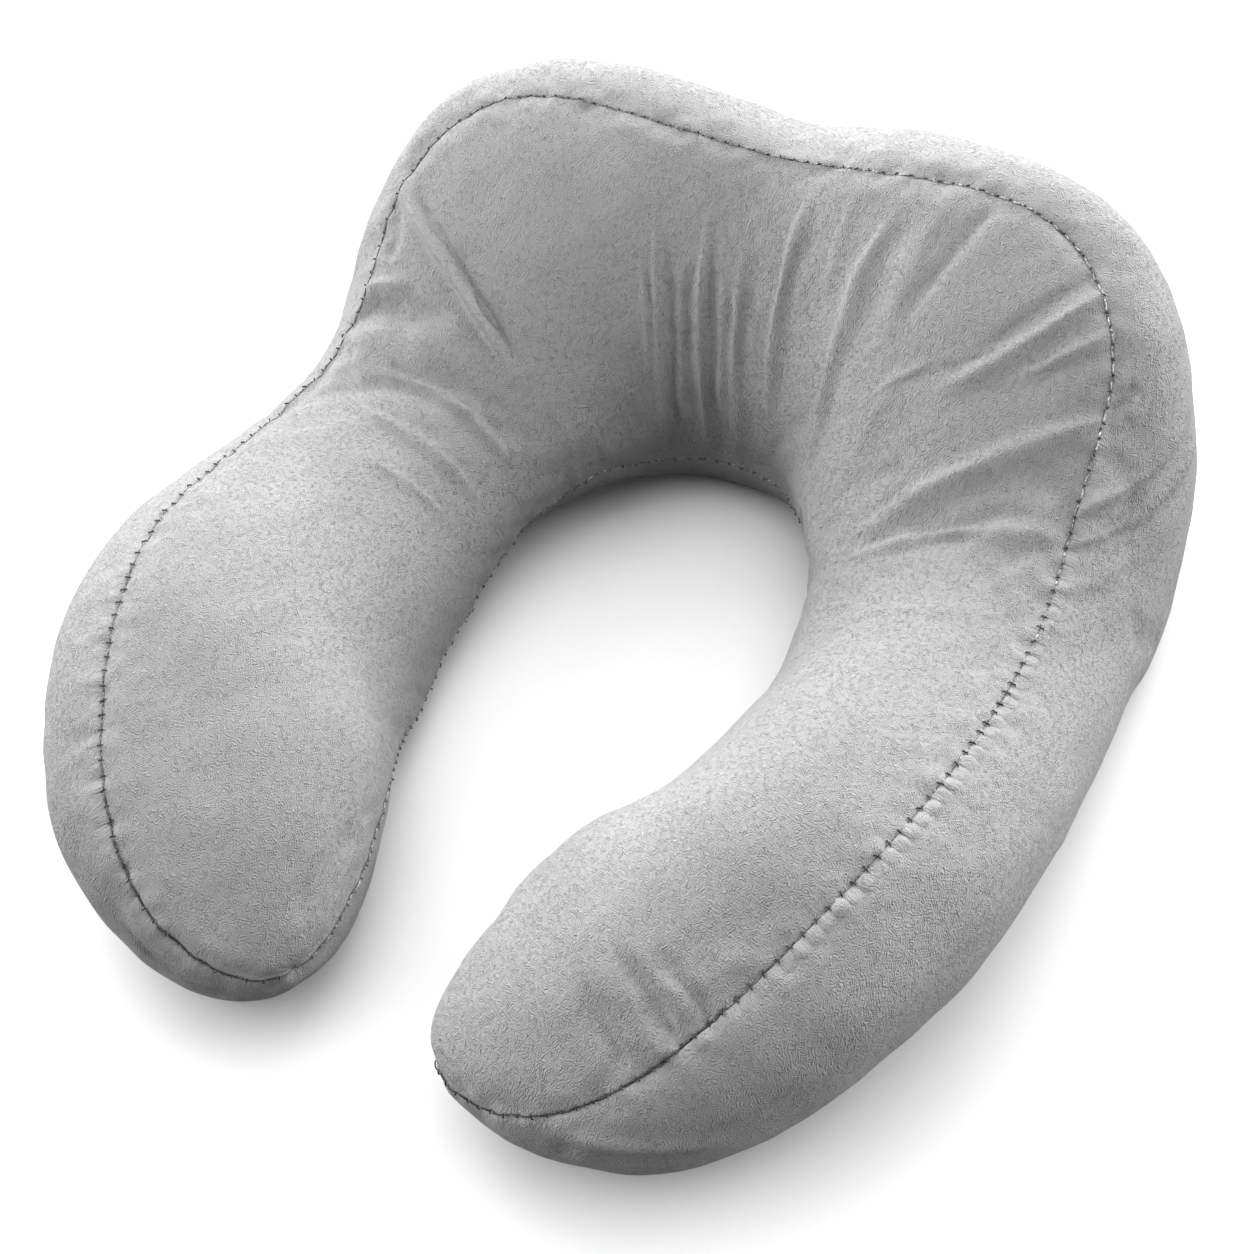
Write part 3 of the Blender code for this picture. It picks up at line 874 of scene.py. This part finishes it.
def seam_threads(column_at, chance):
    """Paths, radii and shades of one seam's thread: a stitch along the valley from each puncture
    to the next, and a short stitch across it. The punctures lie where the puffs meet."""
    line, normal = shaped[:, column_at], shaped_normals[:, column_at]
    crossing = unit(shaped[:, column_at + 1] - shaped[:, column_at - 1])
    run = run_along(ring.points[:, column_at])
    places = np.arange(STITCH, run[-1] - STITCH, STITCH)

    def read(values, where):
        return np.stack([np.interp(where, run, values[:, k]) for k in range(3)], axis=1)

    def stitch(where, rise, aside):
        sunk = rise - DIVE * np.abs(np.linspace(-1, 1, len(where))) ** DIVE_SHARPNESS
        path = read(line, where) + read(normal, where) * sunk[:, None]
        return path + read(crossing, where) * aside[:, None]

    for here, there in zip(places[:-1], places[1:]):
        share = np.interp(here, run, ring.shares)
        t = np.linspace(-1, 1, THREAD_POINTS)
        where = (here + there) / 2 + t * ((there - here) / 2 - STITCH_GAP / 2)
        sway = THREAD_SWAY * np.sin(SWAY_TURN * t + chance.uniform(*SWAY_START))
        path = stitch(where, seam_look("thread_rise", share), sway)
        shade = seam_look("thread_shade", share) if column_at == 0 else INNER_SHADE
        shade *= chance.uniform(*UNLIKE)
        yield path, THREAD * chance.uniform(*UNLIKE_THICKNESS), shade
        t = np.linspace(-1, 1, TICK_POINTS)
        where = here + t * chance.uniform(-TICK_SLANT, TICK_SLANT)
        length = seam_look("tick", share) * chance.uniform(*UNLIKE)
        shade = TICK_SHADE if column_at == 0 else INNER_TICK_SHADE
        yield stitch(where, TICK_RISE + TICK_CURL * np.abs(t), t * length), TICK, shade


def stitches():
    """The thread of both seams as one object, with the shade of each stitch."""
    chance = np.random.default_rng(SEEDS["thread"])
    all_points, all_faces, all_shades = [], [], []
    count = 0
    for column_at in (0, TOP_COLUMNS):
        for path, radius, shade in seam_threads(column_at, chance):
            points, faces = tube(path, radius)
            all_points.append(points)
            all_faces += [tuple(i + count for i in face) for face in faces]
            all_shades += [shade] * len(points)
            count += len(points)
    made = add_mesh("seam_thread", np.concatenate(all_points), all_faces)
    add_attribute(made, "thread_shade", np.array(all_shades)[:, None])
    return made


thread = stitches()

# -------- materials

STROKE_PITCH = 0.64  # from one curl of the pile to the next, in mm
STROKE_PATCH = 1.4  # how far strokes run side by side
STROKE_BEND = 1.1  # how far they are bent aside
STROKE_DIRECTIONS = (
    (1.0, 0.1, 0.2), (0.3, 1.0, -0.2), (0.7, -0.7, 0.3), (-0.6, -0.6, 0.6), (0.1, 0.4, 1.0),
    (0.8, 0.5, -0.7),
)
STROKE_ELSEWHERE = (0.37, 0.11, 0.23)  # from one direction's patches to the next one's
STROKE_THRESHOLD = 0.46
STROKE_GAIN = 2.3
TUFT_WIDTH = 0.5
TUFT_LENGTH = 3.0
TUFT_GAIN = 3.6
TUFT_BEND_SIZE = 6.0
TUFT_SLANT = 3.0
PATCH_SIZE = 22.0  # cloudy patches where the pile lies differently
PILE_COLOUR = (0.485, 0.485, 0.487)
STROKE_CONTRAST = 0.15
PATCH_CONTRAST = 0.14
STROKE_DEPTH = 0.00016
DOME_GAIN = 2.5  # the puffs' bump, in stroke depths
# painted highlight on the puffs' tops
DOME_PAINTED_HIGHLIGHT = 0.08
GAP_GAIN = 2.0  # the narrow gaps between puffs
# painted shade in the narrow gaps between the puffs
GAP_PAINTED_SHADE = 0.35
GAP_FALL = 2.0  # how far from the seam a gap has mostly gone
GAP_SHARPNESS = 14.0
THREAD_TINT = (1.0, 1.0, 1.03)
TWIST_SIZE = 0.9
TWIST_DEPTH = 0.0002
# painted highlights and shade along the thread's twist: how strong, and the darkest
TWIST_HIGHLIGHTS = 5.0
TWIST_DARKEST = 0.15
FLOOR_COLOUR = (0.92, 0.92, 0.92)
FLOOR_GRAIN = 0.01
FLOOR_GRAIN_SIZE = 3.0


class Graph:
    """A new material whose nodes are made by short calls that return output sockets."""

    def __init__(self, name):
        self.material = bpy.data.materials.new(name)
        self.material.use_nodes = True
        self.nodes = self.material.node_tree.nodes
        self.links = self.material.node_tree.links
        self.shader = self.nodes["Principled BSDF"]
        self.place = self.nodes.new("ShaderNodeTexCoord").outputs["Object"]

    def fill(self, socket, value):
        """Links an output to a socket, or sets the socket to a number or a vector."""
        if isinstance(value, bpy.types.NodeSocket):
            self.links.new(value, socket)
        else:
            socket.default_value = value

    def math(self, operation, *values):
        node = self.nodes.new("ShaderNodeMath")
        node.operation = operation
        for socket, value in zip(node.inputs, values):
            self.fill(socket, value)
        return node.outputs["Value"]

    def vector(self, operation, first, second):
        node = self.nodes.new("ShaderNodeVectorMath")
        node.operation = operation
        self.fill(node.inputs[0], first)
        self.fill(node.inputs["Scale" if operation == "SCALE" else 1], second)
        return node.outputs["Value" if operation == "DOT_PRODUCT" else "Vector"]

    def attribute(self, name, output="Fac"):
        """Values that a mesh keeps under a name."""
        node = self.nodes.new("ShaderNodeAttribute")
        node.attribute_name = name
        return node.outputs[output]

    def combine(self, x, y):
        """A vector from two of its parts."""
        node = self.nodes.new("ShaderNodeCombineXYZ")
        self.links.new(x, node.inputs["X"])
        self.links.new(y, node.inputs["Y"])
        return node.outputs["Vector"]

    def noise(self, place, size, output="Fac", detail=0.0):
        """Noise whose spots are about size millimetres across."""
        node = self.nodes.new("ShaderNodeTexNoise")
        node.inputs["Scale"].default_value = 1 / (size * MM)
        node.inputs["Detail"].default_value = detail
        self.links.new(place, node.inputs["Vector"])
        return node.outputs[output]

    def bump(self, height, distance):
        node = self.nodes.new("ShaderNodeBump")
        node.inputs["Distance"].default_value = distance
        self.links.new(height, node.inputs["Height"])
        self.links.new(node.outputs["Normal"], self.shader.inputs["Normal"])

    def colour(self, brightness, tint):
        """The base colour: a tint times a brightness."""
        self.fill(self.shader.inputs["Base Color"], self.vector("SCALE", tint, brightness))

    def finish(self, **values):
        """Sets constant values of the shader and returns the material."""
        for name, value in values.items():
            self.shader.inputs[name.replace("_", " ")].default_value = value
        return self.material


def curled_pile(graph):
    """Short curls: waves in several directions, bent aside, each strong in patches of its own."""
    bend = graph.vector("SUBTRACT", graph.noise(graph.place, STROKE_PATCH, "Color"), (0.5, 0.5, 0.5))
    bent = graph.vector("ADD", graph.place, graph.vector("SCALE", bend, STROKE_BEND * MM))
    total = 0.0
    for number, facing in enumerate(STROKE_DIRECTIONS):
        way = unit(np.array(facing)) * 2 * math.pi / (STROKE_PITCH * MM)
        wave = graph.math("SINE", graph.vector("DOT_PRODUCT", bent, tuple(way)))
        step = tuple(number * part for part in STROKE_ELSEWHERE)
        patches = graph.noise(graph.vector("ADD", graph.place, step), STROKE_PATCH)
        strength = graph.math("SUBTRACT", patches, STROKE_THRESHOLD)
        total = graph.math("MULTIPLY_ADD", wave, graph.math("MAXIMUM", strength, 0.0), total)
    return graph.math("MULTIPLY", total, STROKE_GAIN)


def combed_pile(graph, along, away):
    """Tufts that stand out across a seam, from the place along it and the distance from it."""
    across = graph.math("MULTIPLY", away, TUFT_WIDTH / TUFT_LENGTH)
    bend = graph.noise(graph.combine(along, across), TUFT_BEND_SIZE)
    slant = graph.math("MULTIPLY", graph.math("SUBTRACT", bend, 0.5), TUFT_SLANT)
    slanted = graph.math("MULTIPLY_ADD", slant, away, along)
    tufts = graph.noise(graph.combine(slanted, across), TUFT_WIDTH)
    return graph.math("MULTIPLY", graph.math("SUBTRACT", tufts, 0.5), TUFT_GAIN)


def puffs(graph, along, away, amount):
    """The rounded puffs beside a seam, one along each stitch, with a narrow gap between them that
    is deepest at the punctures. Returns the puffs' height and the gaps' depth."""
    turn = graph.math("FRACT", graph.math("DIVIDE", along, STITCH * MM))
    turn = graph.math("MULTIPLY_ADD", turn, 2.0, -1.0)
    reach = graph.math("MULTIPLY_ADD", away, 1 / (PUFF_REACH * MM), -PUFF_MIDDLE / PUFF_REACH)
    square = graph.math("POWER", graph.math("ABSOLUTE", turn), PUFF_SQUARE)
    outside = graph.math("MULTIPLY_ADD", reach, reach, square)
    inside = graph.math("MAXIMUM", graph.math("SUBTRACT", 1.0, outside), 0.0)
    dome = graph.math("MULTIPLY", graph.math("SQRT", inside), amount)
    narrow = graph.math("POWER", graph.math("ABSOLUTE", turn), GAP_SHARPNESS)
    fade = graph.math("EXPONENT", graph.math("MULTIPLY", away, -1 / (GAP_FALL * MM)))
    return dome, graph.math("MULTIPLY", graph.math("MULTIPLY", narrow, fade), amount)


def velour():
    """Light grey velour: curled pile, combed out beside the seams, in cloudy patches, with a painted
    highlight on the puffs beside the seams and painted shade in the gaps between them, and in patches
    lighter or darker, partly where the pile lies differently and partly as painted light and shade."""
    graph = Graph("velour_pile")
    parts = graph.nodes.new("ShaderNodeSeparateXYZ")
    graph.links.new(graph.attribute("seam_place", "Vector"), parts.inputs["Vector"])
    curls = curled_pile(graph)
    tufts = combed_pile(graph, parts.outputs["X"], parts.outputs["Y"])
    combed = parts.outputs["Z"]
    height = graph.math("MULTIPLY_ADD", graph.math("SUBTRACT", tufts, curls), combed, curls)
    size = graph.attribute("puff_height")
    dome, gap = puffs(graph, parts.outputs["X"], parts.outputs["Y"], size)
    raised = graph.math("MULTIPLY_ADD", dome, DOME_GAIN, height)
    graph.bump(graph.math("MULTIPLY_ADD", gap, -GAP_GAIN, raised), STROKE_DEPTH)
    cloud = graph.math("SUBTRACT", graph.noise(graph.place, PATCH_SIZE, detail=2.0), 0.5)
    bright = graph.math("MULTIPLY_ADD", height, STROKE_CONTRAST, 1.0)
    # painted highlight on the puffs' tops
    bright = graph.math("MULTIPLY_ADD", dome, DOME_PAINTED_HIGHLIGHT, bright)
    # painted shade in the gaps between the puffs
    bright = graph.math("MULTIPLY_ADD", gap, -GAP_PAINTED_SHADE, bright)
    bright = graph.math("MULTIPLY_ADD", cloud, PATCH_CONTRAST, bright)
    # patches painted lighter or darker: partly the pile's lay, partly painted light and shade
    bright = graph.math("MULTIPLY_ADD", bright, graph.attribute("lay_and_painted_light"), bright)
    graph.colour(bright, PILE_COLOUR)
    return graph.finish(
        Roughness=0.95, Specular_IOR_Level=0.2, Sheen_Weight=0.3, Sheen_Roughness=0.4
    )


def thread_finish():
    """Sewing thread, bumped by its twist and mottled along it with painted highlights and shade, each
    stitch in its own shade.
    """
    graph = Graph("thread_twist")
    twist = graph.math("SUBTRACT", graph.noise(graph.place, TWIST_SIZE, detail=1.0), 0.5)
    graph.bump(twist, TWIST_DEPTH)
    # painted highlights and shade along the twist
    mottled = graph.math("MULTIPLY_ADD", twist, TWIST_HIGHLIGHTS, 1.0)
    mottled = graph.math("MAXIMUM", mottled, TWIST_DARKEST)
    graph.colour(graph.math("MULTIPLY", mottled, graph.attribute("thread_shade")), THREAD_TINT)
    return graph.finish(Roughness=0.7, Specular_IOR_Level=0.3)


def floor_finish():
    """Plain white floor with a faint grain."""
    graph = Graph("floor_white")
    grain = graph.math("SUBTRACT", graph.noise(graph.place, FLOOR_GRAIN_SIZE), 0.5)
    graph.colour(graph.math("MULTIPLY_ADD", grain, FLOOR_GRAIN, 1.0), FLOOR_COLOUR)
    return graph.finish(Roughness=1.0, Specular_IOR_Level=0.0)


cloth = velour()
top_cloth.data.materials.append(cloth)
under_cloth.data.materials.append(cloth)
thread.data.materials.append(thread_finish())

# -------- floor and light

FLOOR_HALF = 1.1  # metres
FLOOR_GAP = 0.0002  # below the cushion


def make_floor():
    """A wide floor at the height of the underside, which gives no light back to the cushion."""
    mesh = bpy.data.meshes.new("floor")
    half = FLOOR_HALF
    corners = [(-half, -half, 0), (half, -half, 0), (half, half, 0), (-half, half, 0)]
    mesh.from_pydata(corners, [], [(0, 1, 2, 3)])
    floor = new_object("floor", mesh)
    floor.location.z = cad_low[2] - FLOOR_GAP
    mesh.materials.append(floor_finish())
    floor.visible_diffuse = False
    return floor


LAMP_DISTANCE = 1.9  # metres
LAMP_SIZE = 2.0
# Each lamp's name, its azimuth and elevation in degrees, and its power in watts.
LAMPS = (
    ("left_front", -120, 20, 30.0),
    ("left_behind", -60, 22, 43.0),
    ("behind", 0, 22, 40.0),
    ("right", 60, 22, 30.0),
    ("right_front", 120, 20, 6.0),
    ("above", 0, 70, 10.0),
)
FLOOR_WASH = ("floor_wash", 0, 90, 34.0)  # shines on the floor only
FLOOR_WASH_SIZE = 3.0


def make_lamp(name, azimuth, elevation, power, size=LAMP_SIZE):
    """A round lamp that shines at the frame's origin and isn't seen itself."""
    data = bpy.data.lights.new(name, "AREA")
    data.shape = "DISK"
    data.size = size
    data.energy = power
    light = new_object(name, data)
    way = Vector(direction(azimuth, elevation))
    light.location = way * LAMP_DISTANCE
    light.rotation_mode = "QUATERNION"
    light.rotation_quaternion = way.to_track_quat("Z", "Y")
    light.visible_camera = False
    return light


def make_lights(floor):
    """Large soft lamps, the strongest behind and behind on the left, and a white surround whose
    diffuse light is turned off."""
    world = bpy.data.worlds.new("world")
    bpy.context.scene.world = world
    world.use_nodes = True
    world.node_tree.nodes["Background"].inputs["Color"].default_value = (1, 1, 1, 1)
    world.cycles_visibility.diffuse = False
    for lamp in LAMPS:
        make_lamp(*lamp)
    floor_only = bpy.data.collections.new("floor_only")
    floor_only.objects.link(floor)
    wash = make_lamp(*FLOOR_WASH, FLOOR_WASH_SIZE)
    wash.light_linking.receiver_collection = floor_only
    bpy.context.scene.view_settings.view_transform = "Standard"


make_lights(make_floor())

# -------- hand over

for piece in (top_cloth, under_cloth, thread):
    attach(piece, "root")
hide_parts("top_panel")
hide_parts("under_panel")
